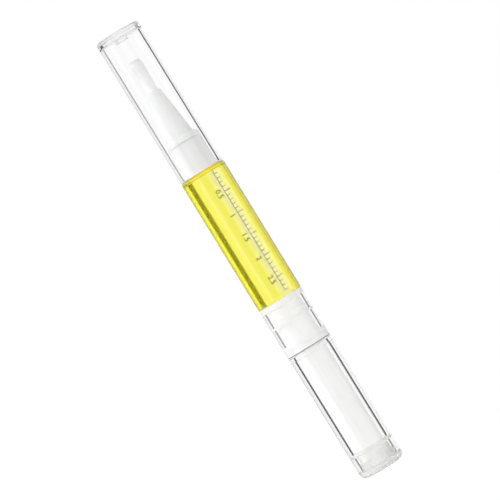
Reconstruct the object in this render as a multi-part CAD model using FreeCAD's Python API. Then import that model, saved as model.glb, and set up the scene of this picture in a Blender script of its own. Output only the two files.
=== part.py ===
import FreeCAD, Part
import math
import os

# Twist-up nail oil pen, standing on its tail with the brush end up.
# Millimetres, +Z along the pen, origin in the middle of the tail face.

# Clearances between pieces
press_gap = 0.02        # pieces pushed together for good, per side
slide_gap = 0.05        # cap on the neck's land, piston in bore, per side
run_gap = 0.10          # turning pieces, per side
thread_gap = 0.12       # screw rod in nut, all round
click_gap = 0.15        # pawl tips to ratchet teeth, which ride over each other
face_gap = 0.15         # end faces of turning pieces

# Tail plug
tail_flange_d = 12.2
tail_flange_height = 1.86
tail_edge_round = 1.7
plug_spigot_length = 4.9
plug_relief = 0.28      # how far the spigot's middle stands back from the bore
plug_band_height = 1.0
plug_pad_count = 4
plug_pad_width = 3.3
plug_pad_height = 2.0
plug_pad_start = 31.0   # degrees round from +X to the middle of the first pad
plug_cup_d = 7.0
plug_floor = 1.4
tube_seat_depth = 0.4

# Knob sleeve
knob_outer_d = 12.2
knob_wall = 1.52
knob_length = 33.55
knob_front_wall = 1.25
knob_edge_round = 0.2

# Barrel
parting_gap = 0.15      # knob to barrel
barrel_outer_d = 12.3
barrel_wall = 1.1
barrel_length = 51.3    # rear end to shoulder
barrel_edge_round = 0.6
shoulder_wall = 0.9
neck_outer_d = 9.2
neck_wall = 0.45
neck_length = 8.7
neck_lead_in = 0.2
neck_land_height = 1.2  # foot of the neck, which the cap grips

# Nozzle and brush
flange_overhang = 0.5
flange_rim = 0.9
flange_height = 1.7
cone_base_d = 7.1
cone_tip_d = 3.9
cone_length = 13.0
cone_tip_round = 0.3
feed_chamber_d = 4.8
feed_chamber_depth = 12.0
tuft_root_d = 2.84
tuft_widest_d = 3.7
tuft_reach = 9.4        # out of the nozzle's tip
tuft_tip_round = 1.4
tuft_base_height = 1.0
metering_plug_length = 8.0
metering_funnel_d = 3.2
metering_funnel_depth = 1.5
feed_tube_d = 1.2
feed_tube_wall = 0.25
feed_tube_length = 21.0

# Cap
cap_outer_d = 12.1
cap_wall = 1.05
cap_end_wall = 1.9      # at the middle of the crown
cap_crown = 0.4         # rise of the rounded end
cap_headroom = 6.45     # brush tip to the cap's ceiling
cap_edge_round = 0.7
cap_inner_round = 0.5
cap_nub_d = 3.6         # gate mark under the end
cap_nub_height = 1.2
cap_seat_gap = 0.1

# Screw rod
lead = 2.5              # feed in one turn of the knob
rod_tail_gap = 0.55     # screw rod to the tail plug's front
rod_outer_d = 4.6
thread_depth = 0.5
thread_root_width = 1.3
thread_tip_width = 0.7
thread_bite = 0.2       # how far the ridge is sunk in the core
thread_run_out = 0.85   # plain rod beside the middle of each end of the thread
rod_flats = 3.1         # across the two flats
rod_neck_d = 2.4
rod_head_d = 3.8
rod_head_height = 1.6
rod_head_round = 0.5
head_gap = 0.15

# Piston
piston_length = 5.4
piston_gap = 0.1        # behind the piston at the start of its travel
piston_lip_height = 1.5
piston_waist_relief = 0.45
piston_cup_depth = 0.8
piston_cup_floor_d = 4.4
piston_lip_width = 0.55
piston_snap_wall = 1.4
oil_gap = 0.05

# Screw nut, with the ratchet teeth inside its skirt
retainer_inset = 0.2
retainer_height = 1.4
nut_length = 6.9
nut_waist_relief = 0.43
nut_front_band = 0.6
ratchet_valley_d = 8.6
tooth_depth = 0.3
tooth_count = 20
ratchet_height = 2.3

# Drive tube and click ring
tube_outer_d = 7.8
tube_bore_d = 5.2
tube_flats = 7.2
collar_d = 8.8
collar_height = 1.0
nose_d = 5.9
nose_flats = 5.3
nose_length = 2.15
click_ring_wall = 0.3
click_ring_height = 1.9
arm_width = 0.3
arm_gap = 0.18
arm_sweep = 100.0       # degrees
arm_root_sweep = 18.0
arm_tip_sweep = 14.0
arm_count = 2

# Heights along the pen
knob_rear = tail_flange_height
knob_front = knob_rear + knob_length
barrel_rear = knob_front + parting_gap
shoulder = barrel_rear + barrel_length
neck_front = shoulder + neck_length
cone_base = neck_front + flange_height
cone_tip = cone_base + cone_length
tuft_tip = cone_tip + tuft_reach
cap_mouth = shoulder + cap_seat_gap
cap_ceiling = tuft_tip + cap_headroom
cap_top = cap_ceiling + cap_end_wall
plug_front = knob_rear + plug_spigot_length
tube_rear = plug_front - tube_seat_depth + face_gap
retainer_rear = barrel_rear + retainer_inset
nut_rear = retainer_rear + retainer_height
nut_front = nut_rear + nut_length
collar_rear = nut_rear + face_gap
collar_front = collar_rear + collar_height
ratchet_rear = collar_front + face_gap
ratchet_front = ratchet_rear + ratchet_height
nose_front = collar_front + nose_length
rod_rear = plug_front + rod_tail_gap
rod_travel = collar_rear - rod_rear
thread_start = rod_rear + thread_run_out
thread_end = nut_front - thread_run_out
piston_rear = nut_front + piston_gap
piston_front = piston_rear + piston_length
head_base = piston_rear + piston_snap_wall + head_gap
head_top = head_base + rod_head_height
chamber_top = shoulder - shoulder_wall
feed_chamber_top = shoulder + feed_chamber_depth
tuft_base_rear = feed_chamber_top - press_gap - tuft_base_height
metering_front = tuft_base_rear - press_gap
metering_rear = metering_front - metering_plug_length
feed_tube_rear = metering_rear + metering_funnel_depth
feed_tube_front = feed_tube_rear + feed_tube_length

# Radii that follow from the sizes above
knob_r = knob_outer_d / 2
knob_bore_r = knob_r - knob_wall
barrel_r = barrel_outer_d / 2
bore_r = barrel_r - barrel_wall
neck_r = neck_outer_d / 2
neck_bore_r = neck_r - neck_wall
cap_r = cap_outer_d / 2
cap_bore_r = cap_r - cap_wall
land_r = cap_bore_r - slide_gap
tube_r = tube_outer_d / 2
rod_r = rod_outer_d / 2
rod_root_r = rod_r - thread_depth
ratchet_tip_r = ratchet_valley_d / 2 - tooth_depth
nose_r = nose_d / 2
click_ring_r = nose_r + press_gap + click_ring_wall

UP = FreeCAD.Vector(0, 0, 1)
ORIGIN = FreeCAD.Vector(0, 0, 0)
SAME = 1e-6


def turned(*outline):
    """Turns a closed outline of (radius, height) points about the pen's axis."""
    points = [FreeCAD.Vector(r, 0, z) for r, z in outline]
    face = Part.Face(Part.makePolygon(points + points[:1]))
    return face.revolve(ORIGIN, UP, 360)


def rod(radius, low, high):
    return Part.makeCylinder(radius, high - low, FreeCAD.Vector(0, 0, low))


def ring(inner, outer, low, high):
    return turned((inner, low), (outer, low), (outer, high), (inner, high))


def slab(across, low, high, reach):
    """A block between two flats that face +Y and -Y."""
    corner = FreeCAD.Vector(-reach, -across / 2, low)
    return Part.makeBox(2 * reach, across, high - low, corner)


def flatted(radius, across, low, high):
    """A round bar with two flats."""
    return rod(radius, low, high).common(slab(across, low, high, 2 * radius))


def rounded(solid, radius, *rings):
    """Rounds the ring-shaped edges at the given (radius, height) places."""
    chosen = []
    for edge in solid.Edges:
        if edge.Degenerated:    # the pole of a crowned end
            continue
        curve = edge.Curve
        if not isinstance(curve, Part.Circle):
            continue
        for r, z in rings:
            if abs(curve.Radius - r) < SAME and abs(curve.Center.z - z) < SAME:
                chosen.append(edge)
    return solid.makeFillet(radius, chosen)


def sector(inner, outer, start, sweep, low, high):
    """Part of a ring, with its start and sweep in degrees."""
    piece = ring(inner, outer, low, high)
    wedge = Part.makeCylinder(2 * outer, high - low, FreeCAD.Vector(0, 0, low), UP, sweep)
    wedge.rotate(ORIGIN, UP, start)
    return piece.common(wedge)


def ridge_half_turn(index, core_r, outer_r, root_width, tip_width):
    """Half a turn of right-hand thread ridge; index counts the half turns from the thread's start.

    It runs from one flat of the rod to the other, and climbs half a lead.
    """
    sunk_r = core_r - thread_bite
    flank = (root_width - tip_width) / (outer_r - core_r)
    sunk_width = root_width + flank * thread_bite
    section = [
        FreeCAD.Vector(sunk_r, 0, -sunk_width / 2),
        FreeCAD.Vector(outer_r, 0, -tip_width / 2),
        FreeCAD.Vector(outer_r, 0, tip_width / 2),
        FreeCAD.Vector(sunk_r, 0, sunk_width / 2),
    ]
    path = Part.makeHelix(lead, lead / 2, sunk_r)
    sweep = Part.BRepOffsetAPI.MakePipeShell(Part.Wire(path))
    sweep.setBiNormalMode(UP)
    sweep.add(Part.makePolygon(section + section[:1]))
    sweep.build()
    sweep.makeSolid()
    ridge = sweep.shape()
    ridge.rotate(ORIGIN, UP, 90 + 180 * index)
    ridge.translate(FreeCAD.Vector(0, 0, thread_start + index * lead / 2))
    return ridge


def make_cap():
    cap = turned(
        (cap_bore_r, cap_mouth),
        (cap_r, cap_mouth),
        (cap_r, cap_top),
        (0, cap_top),
        (0, cap_ceiling - cap_nub_height),
        (cap_nub_d / 2, cap_ceiling - cap_nub_height),
        (cap_nub_d / 2, cap_ceiling),
        (cap_bore_r, cap_ceiling),
    )
    crown_r = (cap_r ** 2 + cap_crown ** 2) / (2 * cap_crown)
    cap = cap.common(Part.makeSphere(crown_r, FreeCAD.Vector(0, 0, cap_top - crown_r)))
    cap = rounded(cap, cap_edge_round, (cap_r, cap_top - cap_crown))
    return rounded(cap, cap_inner_round, (cap_bore_r, cap_ceiling))


def make_barrel():
    barrel = turned(
        (bore_r, barrel_rear),
        (barrel_r, barrel_rear),
        (barrel_r, shoulder),
        (land_r, shoulder),
        (land_r, shoulder + neck_land_height),
        (neck_r, shoulder + neck_land_height),
        (neck_r, neck_front - neck_lead_in),
        (neck_r - neck_lead_in, neck_front),
        (neck_bore_r, neck_front),
        (neck_bore_r, chamber_top),
        (bore_r, chamber_top),
    )
    return rounded(barrel, barrel_edge_round, (barrel_r, shoulder))


def make_oil_fill():
    """Fills the chamber from the piston's dished face to the nozzle's spigot."""
    oil_r = bore_r - press_gap
    lip_inner_r = bore_r - slide_gap - piston_lip_width
    oil_rear = piston_front + oil_gap
    return turned(
        (0, oil_rear - piston_cup_depth),
        (piston_cup_floor_d / 2, oil_rear - piston_cup_depth),
        (lip_inner_r, oil_rear),
        (oil_r, oil_rear),
        (oil_r, chamber_top - press_gap),
        (neck_bore_r - press_gap, chamber_top - press_gap),
        (neck_bore_r - press_gap, shoulder - press_gap),
        (0, shoulder - press_gap),
    )


def make_nozzle():
    spigot_r = neck_bore_r - press_gap
    flange_r = neck_bore_r + flange_overhang
    chamber_r = feed_chamber_d / 2
    socket_r = tuft_root_d / 2 + press_gap
    nozzle = turned(
        (chamber_r, shoulder),
        (spigot_r, shoulder),
        (spigot_r, neck_front),
        (flange_r, neck_front),
        (flange_r, neck_front + flange_rim),
        (cone_base_d / 2, cone_base),
        (cone_tip_d / 2, cone_tip),
        (socket_r, cone_tip),
        (socket_r, feed_chamber_top),
        (chamber_r, feed_chamber_top),
    )
    return rounded(nozzle, cone_tip_round, (cone_tip_d / 2, cone_tip))


def make_metering_plug():
    """Holds the tuft in from behind and meters the oil into the feed tube."""
    plug_r = feed_chamber_d / 2 - press_gap
    tube_hole_r = feed_tube_d / 2 + press_gap
    return turned(
        (metering_funnel_d / 2, metering_rear),
        (plug_r, metering_rear),
        (plug_r, metering_front),
        (tube_hole_r, metering_front),
        (tube_hole_r, feed_tube_rear),
    )


def make_feed_tube():
    outer = feed_tube_d / 2
    return ring(outer - feed_tube_wall, outer, feed_tube_rear, feed_tube_front)


def make_tuft_base():
    """The disc of melted bristle ends behind the tuft."""
    hole_r = feed_tube_d / 2 + press_gap
    disc_r = feed_chamber_d / 2 - press_gap
    return ring(hole_r, disc_r, tuft_base_rear, tuft_base_rear + tuft_base_height)


def make_bristle_tuft():
    hole_r = feed_tube_d / 2 + press_gap
    tuft = turned(
        (0, feed_tube_front + press_gap),
        (hole_r, feed_tube_front + press_gap),
        (hole_r, feed_chamber_top),
        (tuft_root_d / 2, feed_chamber_top),
        (tuft_root_d / 2, cone_tip),
        (tuft_widest_d / 2, tuft_tip),
        (0, tuft_tip),
    )
    return rounded(tuft, tuft_tip_round, (tuft_widest_d / 2, tuft_tip))


def make_piston():
    """A wiper piston: two lips, a dished face, and a socket that the rod's head snaps into."""
    lip_r = bore_r - slide_gap
    waist_r = lip_r - piston_waist_relief
    cup_floor = piston_front - piston_cup_depth
    neck_hole_r = rod_neck_d / 2 + head_gap
    head_hole_r = rod_head_d / 2 + head_gap
    return turned(
        (neck_hole_r, piston_rear),
        (lip_r, piston_rear),
        (lip_r, piston_rear + piston_lip_height),
        (waist_r, piston_rear + piston_lip_height),
        (waist_r, piston_front - piston_lip_height),
        (lip_r, piston_front - piston_lip_height),
        (lip_r, piston_front),
        (lip_r - piston_lip_width, piston_front),
        (piston_cup_floor_d / 2, cup_floor),
        (0, cup_floor),
        (0, head_top + head_gap),
        (head_hole_r, head_top + head_gap),
        (head_hole_r, head_base - head_gap),
        (neck_hole_r, head_base - head_gap),
    )


def make_screw_rod():
    """A flatted right-hand screw with a mushroom head that the piston snaps on to."""
    core = flatted(rod_root_r, rod_flats, rod_rear, nut_front)
    between_flats = slab(rod_flats, rod_rear, nut_front, 2 * rod_r)
    ridges = []
    for index in range(math.floor((thread_end - thread_start) / (lead / 2))):
        ridge = ridge_half_turn(index, rod_root_r, rod_r, thread_root_width, thread_tip_width)
        ridges.append(ridge.common(between_flats))
    head = rod(rod_head_d / 2, head_base, head_top)
    head = rounded(head, rod_head_round, (rod_head_d / 2, head_top))
    neck = rod(rod_neck_d / 2, nut_front, head_base)
    return core.fuse(ridges + [neck, head]).removeSplitter()


def make_thread_nut():
    """Pressed into the barrel's rear: screw thread in front, ratchet teeth and collar seat behind."""
    band_r = bore_r - press_gap
    waist_r = band_r - nut_waist_relief
    skirt_r = collar_d / 2 + face_gap
    nut = turned(
        (skirt_r, nut_rear),
        (band_r, nut_rear),
        (band_r, ratchet_rear),
        (waist_r, ratchet_rear),
        (waist_r, nut_front - nut_front_band),
        (band_r, nut_front - nut_front_band),
        (band_r, nut_front),
        (0, nut_front),
        (0, ratchet_rear),
        (skirt_r, ratchet_rear),
    )
    pitch = 2 * math.pi / tooth_count
    teeth = []
    for tooth in range(tooth_count):
        for radius in (ratchet_tip_r, ratchet_valley_d / 2):
            x = radius * math.cos(tooth * pitch)
            y = radius * math.sin(tooth * pitch)
            teeth.append(FreeCAD.Vector(x, y, ratchet_rear))
    star = Part.Face(Part.makePolygon(teeth + teeth[:1]))
    nut = nut.cut(star.extrude(FreeCAD.Vector(0, 0, ratchet_height)))
    nut = nut.cut(rod(rod_root_r + thread_gap, ratchet_rear, nut_front))
    # the groove is on the rod's own helix, so the two stay in mesh while the rod screws forward
    first = math.floor((ratchet_front - thread_start) / (lead / 2)) - 2
    last = math.ceil((nut_front - thread_start) / (lead / 2)) + 1
    for index in range(first, last):
        groove = ridge_half_turn(
            index,
            rod_root_r + thread_gap,
            rod_r + thread_gap,
            thread_root_width + 2 * thread_gap,
            thread_tip_width + 2 * thread_gap,
        )
        nut = nut.cut(groove)
    return nut


def make_retainer_ring():
    """Closes the barrel's rear end behind the drive tube's collar."""
    return ring(tube_r + run_gap, bore_r - press_gap, retainer_rear, nut_rear - press_gap)


def make_drive_tube():
    """Turns with the knob: flats at the knob, a collar in the nut, and a flatted bore on the rod."""
    tube = flatted(tube_r, tube_flats, tube_rear, knob_front)
    journal = rod(tube_r, knob_front, collar_rear)
    collar = rod(collar_d / 2, collar_rear, collar_front)
    nose = flatted(nose_r, nose_flats, collar_front, nose_front)
    tube = tube.fuse([journal, collar, nose]).removeSplitter()
    key_hole = flatted(rod_r + run_gap, rod_flats + 2 * run_gap, tube_rear, nose_front)
    return tube.cut(rod(tube_bore_d / 2, tube_rear, collar_rear)).cut(key_hole)


def make_click_ring():
    """Two springy arms that click over the nut's teeth; their bending is not modelled."""
    low = ratchet_rear
    high = low + click_ring_height
    bore = flatted(nose_r + press_gap, nose_flats + 2 * press_gap, low, high)
    hoop = rod(click_ring_r, low, high).cut(bore)
    arm_inner = click_ring_r + arm_gap
    arm_outer = arm_inner + arm_width
    tip_r = ratchet_tip_r - click_gap
    for arm in range(arm_count):
        start = arm * 360.0 / arm_count
        tip_start = start + arm_sweep - arm_tip_sweep
        root_inner = click_ring_r - click_ring_wall / 2
        hoop = hoop.fuse(
            [
                sector(root_inner, arm_outer, start, arm_root_sweep, low, high),
                sector(arm_inner, arm_outer, start, arm_sweep, low, high),
                sector(arm_inner, tip_r, tip_start, arm_tip_sweep, low, high),
            ]
        )
    return hoop.removeSplitter()


def make_knob_sleeve():
    sleeve = turned(
        (knob_bore_r, knob_rear),
        (knob_r, knob_rear),
        (knob_r, knob_front),
        (0, knob_front),
        (0, knob_front - knob_front_wall),
        (knob_bore_r, knob_front - knob_front_wall),
    )
    sleeve = rounded(sleeve, knob_edge_round, (knob_r, knob_front), (knob_r, knob_rear))
    hole_flats = tube_flats + 2 * press_gap
    return sleeve.cut(flatted(tube_r + press_gap, hole_flats, knob_rear, knob_front))


def make_tail_plug():
    """A hollow plug: flange outside, and a spigot with locating pads and a front band."""
    spigot_r = knob_bore_r - press_gap
    middle_r = spigot_r - plug_relief
    seat_r = tube_r + press_gap
    plug = turned(
        (0, 0),
        (tail_flange_d / 2, 0),
        (tail_flange_d / 2, knob_rear),
        (middle_r, knob_rear),
        (middle_r, plug_front - plug_band_height),
        (spigot_r, plug_front - plug_band_height),
        (spigot_r, plug_front),
        (seat_r, plug_front),
        (seat_r, plug_front - tube_seat_depth),
        (plug_cup_d / 2, plug_front - tube_seat_depth),
        (plug_cup_d / 2, plug_floor),
        (0, plug_floor),
    )
    plug = rounded(plug, tail_edge_round, (tail_flange_d / 2, 0))
    sweep = math.degrees(plug_pad_width / spigot_r)
    pads = []
    for pad in range(plug_pad_count):
        start = plug_pad_start + pad * 360.0 / plug_pad_count - sweep / 2
        pads.append(sector(middle_r, spigot_r, start, sweep, knob_rear, knob_rear + plug_pad_height))
    return plug.fuse(pads).removeSplitter()


PIECES = {
    "cap": make_cap,
    "bristle_tuft": make_bristle_tuft,
    "tuft_base": make_tuft_base,
    "feed_tube": make_feed_tube,
    "metering_plug": make_metering_plug,
    "nozzle": make_nozzle,
    "barrel": make_barrel,
    "oil_fill": make_oil_fill,
    "piston": make_piston,
    "screw_rod": make_screw_rod,
    "thread_nut": make_thread_nut,
    "click_ring": make_click_ring,
    "retainer_ring": make_retainer_ring,
    "drive_tube": make_drive_tube,
    "knob_sleeve": make_knob_sleeve,
    "tail_plug": make_tail_plug,
}

os.makedirs("parts", exist_ok=True)
for name, make in PIECES.items():
    piece = make()
    print(name, "solids", len(piece.Solids), "valid", piece.isValid(), "mm3", round(piece.Volume, 2))
    piece.exportStep(f"parts/{name}.step")
print("pen length", round(cap_top, 3), "feed travel", round(rod_travel, 3))
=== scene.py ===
import math

import bmesh
import bpy
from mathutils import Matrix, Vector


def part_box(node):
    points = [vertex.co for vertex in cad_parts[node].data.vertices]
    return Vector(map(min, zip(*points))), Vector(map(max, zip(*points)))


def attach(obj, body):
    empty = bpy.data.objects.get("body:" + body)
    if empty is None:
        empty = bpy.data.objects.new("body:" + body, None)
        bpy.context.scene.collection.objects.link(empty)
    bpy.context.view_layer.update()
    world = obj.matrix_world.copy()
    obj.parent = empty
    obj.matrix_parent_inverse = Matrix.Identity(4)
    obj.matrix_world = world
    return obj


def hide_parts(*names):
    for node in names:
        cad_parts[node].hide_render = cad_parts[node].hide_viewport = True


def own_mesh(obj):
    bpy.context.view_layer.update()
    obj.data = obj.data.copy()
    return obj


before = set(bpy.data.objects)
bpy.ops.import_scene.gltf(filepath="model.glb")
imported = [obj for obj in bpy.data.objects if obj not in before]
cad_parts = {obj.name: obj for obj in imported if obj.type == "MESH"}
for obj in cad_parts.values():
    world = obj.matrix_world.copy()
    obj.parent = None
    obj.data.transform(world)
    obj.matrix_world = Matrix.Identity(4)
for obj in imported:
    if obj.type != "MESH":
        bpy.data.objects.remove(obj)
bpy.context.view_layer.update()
scene = bpy.context.scene
scene.view_settings.view_transform = "Standard"
scene.cycles.max_bounces = 32
scene.cycles.transmission_bounces = 32
scene.cycles.glossy_bounces = 12
scene.cycles.diffuse_bounces = 12
scene.cycles.transparent_max_bounces = 64
mm = 0.001
print("frame loaded:", len(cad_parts), "nodes")

# camera level with the pen's middle, rolled so the pen leans as it is shown; degrees and metres
cameraLook = {
    "turn": -14.0, "distance": 1.1, "height": 0.06394, "lean": 31.54,
    "frame": 0.125,                     # width of the view at the pen
    "sensor": 36.0, "near": 0.01,
}


# small helpers

def addObject(name, data):
    thing = bpy.data.objects.new(name, data)
    scene.collection.objects.link(thing)
    return thing


def addNode(tree, kind, inputs=None, **settings):
    node = tree.nodes.new(kind)
    for name, value in settings.items():
        setattr(node, name, value)
    for key, value in (inputs or {}).items():
        if isinstance(value, bpy.types.NodeSocket):
            tree.links.new(value, node.inputs[key])
        else:
            node.inputs[key].default_value = value
    return node


def calculator(tree):
    def calc(kind, a, b=0.0):
        return addNode(tree, "ShaderNodeMath", {0: a, 1: b}, operation=kind).outputs[0]
    return calc


def vector(tree, x=0.0, y=0.0, z=0.0):
    return addNode(tree, "ShaderNodeCombineXYZ", {0: x, 1: y, 2: z}).outputs[0]


def mixColours(tree, share, first, second, blend="MIX"):
    # a Mix node's colour sockets share their names with its number sockets, so they go by place
    return addNode(tree, "ShaderNodeMix", {"Factor": share, 6: first, 7: second},
                   data_type="RGBA", blend_type=blend).outputs[2]


def newMaterial(name):
    material = bpy.data.materials.new(name)
    material.use_nodes = True
    tree = material.node_tree
    tree.nodes.clear()
    return material, tree


def grain(tree, scale, detail=3.0):
    coords = addNode(tree, "ShaderNodeTexCoord")
    return addNode(tree, "ShaderNodeTexNoise", {
        "Vector": coords.outputs["Object"], "Scale": scale, "Detail": detail,
    }).outputs["Fac"]


grainSpan = (0.3, 0.7)      # most of a noise texture lies between these


def between(tree, value, low, high):
    return addNode(tree, "ShaderNodeMapRange", {
        "Value": value, "From Min": grainSpan[0], "From Max": grainSpan[1], "To Min": low, "To Max": high,
    }).outputs["Result"]


# clear moulded plastic: cap, barrel and knob, and the cloudier tail plug
clearLook = {
    "tint": (0.99, 0.992, 0.99, 1), "ior": 1.49, "clear": 0.995,
    "smear": (0.0, 0.02), "smearScale": 260.0,      # faint handling haze
    "flow": 0.004, "flowScale": 90.0,               # mould flow ripple
    "lampTint": (1, 1, 1, 1),
    # painted shade on the walls seen edge-on
    "edge": (0.6, 0.615, 0.61, 1), "edgeShadeStart": 0.78,
}
plugLook = {
    **clearLook, "tint": (0.9, 0.899, 0.891, 1), "clear": 0.65, "smear": (0.02, 0.07),
    "lampTint": (1, 1, 0.99, 1),
    # painted shade on the walls seen edge-on
    "edge": (0.35, 0.355, 0.35, 1), "edgeShadeStart": 0.5,
}


def letLampsThrough(tree, shell, tint):
    rays = addNode(tree, "ShaderNodeLightPath").outputs
    soft = calculator(tree)("MAXIMUM", rays["Is Shadow Ray"], rays["Is Diffuse Ray"])
    through = addNode(tree, "ShaderNodeBsdfTransparent", {"Color": tint})
    return addNode(tree, "ShaderNodeMixShader", {0: soft, 1: shell.outputs[0], 2: through.outputs[0]})


def insideBand(tree, band):
    # 1 between two heights and past a radius, 0 elsewhere
    calc = calculator(tree)
    place = addNode(tree, "ShaderNodeTexCoord").outputs["Object"]
    height = addNode(tree, "ShaderNodeSeparateXYZ", {0: place}).outputs[2]
    flat = addNode(tree, "ShaderNodeVectorMath", {0: place, 1: (1, 1, 0)}, operation="MULTIPLY")
    radius = addNode(tree, "ShaderNodeVectorMath", {0: flat.outputs[0]}, operation="LENGTH").outputs["Value"]
    over = calc("GREATER_THAN", height, band["low"] * mm)
    under = calc("LESS_THAN", height, band["high"] * mm)
    past = calc("GREATER_THAN", radius, band.get("beyond", 0) * mm)
    return calc("MULTIPLY", calc("MULTIPLY", over, under), past)


def clearMaterial(name, look, bands=()):
    material, tree = newMaterial(name)
    haze = between(tree, grain(tree, look["smearScale"]), *look["smear"])
    ripple = addNode(tree, "ShaderNodeBump", {
        "Height": grain(tree, look["flowScale"], 1.0), "Strength": 1.0, "Distance": look["flow"] * mm,
    })
    # painted shade: the clear wall is darkened towards the edge colour where it is seen edge-on, standing in for
    # the dark surroundings that the edges refract
    facing = addNode(tree, "ShaderNodeLayerWeight", {"Blend": 0.5}).outputs["Facing"]
    edgeShadeShare = addNode(tree, "ShaderNodeMapRange", {
        "Value": facing, "From Min": look["edgeShadeStart"], "From Max": 1.0,
    })
    colour = mixColours(tree, edgeShadeShare.outputs["Result"], look["tint"], look["edge"])
    # bands of painted light and painted shade multiplied into the colour
    for band in bands:
        colour = mixColours(tree, insideBand(tree, band), colour, band["tint"], "MULTIPLY")
    shell = addNode(tree, "ShaderNodeBsdfPrincipled", {
        "Base Color": colour, "IOR": look["ior"], "Transmission Weight": look["clear"],
        "Roughness": haze, "Normal": ripple.outputs["Normal"],
    })
    mixed = letLampsThrough(tree, shell, look["lampTint"])
    addNode(tree, "ShaderNodeOutputMaterial", {"Surface": mixed.outputs[0]})
    return material


# golden nail oil, coloured by its depth; in the shoulder it is made denser, painted shade that deepens its amber
oilLook = {"ior": 1.47, "lampTint": (1.0, 0.95, 0.4, 1)}
oilDepths = {
    "nailOil": {"absorb": (0.9973, 0.9805, 0.0, 1), "density": 300.0},
    # painted shade: a denser absorption than the rest of the oil deepens the amber in the shoulder
    "shoulderOilShade": {"absorb": (0.9989, 0.976, 0.0, 1), "density": 900.0},
}


def oilMaterial(name):
    material, tree = newMaterial(name)
    oil = addNode(tree, "ShaderNodeBsdfPrincipled", {
        "Base Color": (1, 1, 1, 1), "IOR": oilLook["ior"], "Transmission Weight": 1.0, "Roughness": 0.0,
    })
    depth = addNode(tree, "ShaderNodeVolumeAbsorption", {
        "Color": oilDepths[name]["absorb"], "Density": oilDepths[name]["density"],
    })
    mixed = letLampsThrough(tree, oil, oilLook["lampTint"])
    addNode(tree, "ShaderNodeOutputMaterial", {"Surface": mixed.outputs[0], "Volume": depth.outputs[0]})
    return material


# white moulded plastics
whiteSkin = {
    "cloud": 180.0, "fine": 2600.0, "fineDetail": 2.0, "bump": 0.35, "depth": 0.01,
    "ior": 1.49, "glowRadius": (1.0, 0.9, 0.8), "glowScale": 0.6,
}
whiteLooks = {
    "nozzleWhite": {
        "pale": (0.88, 0.885, 0.88, 1), "deep": (0.85, 0.855, 0.85, 1), "gloss": (0.32, 0.42), "glow": 0.15,
    },
    "pistonWhite": {
        "pale": (0.945, 0.93, 0.90, 1), "deep": (0.92, 0.905, 0.875, 1), "gloss": (0.42, 0.52), "glow": 0.15,
    },
    "coreWhite": {
        "pale": (0.945, 0.945, 0.94, 1), "deep": (0.92, 0.92, 0.915, 1), "gloss": (0.38, 0.48), "glow": 0.1,
    },
    "rodWhite": {
        "pale": (0.86, 0.865, 0.87, 1), "deep": (0.83, 0.835, 0.84, 1), "gloss": (0.35, 0.45), "glow": 0.1,
    },
    "bristleWhite": {
        "pale": (0.95, 0.955, 0.95, 1), "deep": (0.925, 0.93, 0.925, 1), "gloss": (0.45, 0.6), "glow": 0.0,
    },
}


def whitePlastic(name):
    look = whiteLooks[name]
    material, tree = newMaterial(name)
    fine = grain(tree, whiteSkin["fine"], whiteSkin["fineDetail"])
    skin = addNode(tree, "ShaderNodeBump", {
        "Height": fine, "Strength": whiteSkin["bump"], "Distance": whiteSkin["depth"] * mm,
    })
    plastic = addNode(tree, "ShaderNodeBsdfPrincipled", {
        "Base Color": mixColours(tree, grain(tree, whiteSkin["cloud"]), look["pale"], look["deep"]),
        "Roughness": between(tree, fine, *look["gloss"]), "Normal": skin.outputs["Normal"],
        "IOR": whiteSkin["ior"], "Subsurface Weight": look["glow"],
        "Subsurface Radius": whiteSkin["glowRadius"], "Subsurface Scale": whiteSkin["glowScale"] * mm,
    })
    addNode(tree, "ShaderNodeOutputMaterial", {"Surface": plastic.outputs[0]})
    return material


inkLook = {"colour": (0.05, 0.045, 0.03, 1), "worn": (0.11, 0.1, 0.07, 1), "grain": 1500.0, "rough": 0.45}


def scaleInkMaterial():
    material, tree = newMaterial("scaleInk")
    colour = mixColours(tree, grain(tree, inkLook["grain"]), inkLook["colour"], inkLook["worn"])
    ink = addNode(tree, "ShaderNodeBsdfPrincipled", {"Base Color": colour, "Roughness": inkLook["rough"]})
    addNode(tree, "ShaderNodeOutputMaterial", {"Surface": ink.outputs[0]})
    return material


clearShell = clearMaterial("clearShell", clearLook)
oils = {name: oilMaterial(name) for name in oilDepths}
whites = {name: whitePlastic(name) for name in whiteLooks}
scaleInk = scaleInkMaterial()
print("materials made")


# turned pieces: outlines are (radius, height, corner round) in millimetres
turning = {
    "around": 144, "cornerSteps": 7,
    "hold": 0.03,                       # short steps beside each corner
    "merge": 0.0005, "slim": 0.0002,    # closer points are merged, narrower faces dissolved
    "sharp": 32.0,
}
crisp = 0.05        # corner round of a plain moulded edge
rowMark = 1e-4      # radii closer than this belong to the same row


def roundCorners(outline, closed):
    points = []
    count = len(outline)
    for i, (r, z, fillet) in enumerate(outline):
        isEnd = not closed and i in (0, count - 1)
        if not fillet or isEnd:
            points.append((r, z))
            continue
        before, after = outline[i - 1], outline[(i + 1) % count]
        toBefore = math.atan2(before[1] - z, before[0] - r)
        toAfter = math.atan2(after[1] - z, after[0] - r)
        opening = (toAfter - toBefore) % (2 * math.pi)
        if opening > math.pi:
            opening -= 2 * math.pi
        leg = fillet / math.tan(abs(opening) / 2)
        far = fillet / math.sin(abs(opening) / 2)
        middle = toBefore + opening / 2
        centre = (r + far * math.cos(middle), z + far * math.sin(middle))
        start = (r + leg * math.cos(toBefore), z + leg * math.sin(toBefore))
        stop = (r + leg * math.cos(toAfter), z + leg * math.sin(toAfter))
        first = math.atan2(start[1] - centre[1], start[0] - centre[0])
        last = math.atan2(stop[1] - centre[1], stop[0] - centre[0])
        turn = (last - first + math.pi) % (2 * math.pi) - math.pi
        for k in range(turning["cornerSteps"] + 1):
            angle = first + turn * k / turning["cornerSteps"]
            points.append((centre[0] + fillet * math.cos(angle), centre[1] + fillet * math.sin(angle)))
    return points


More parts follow.
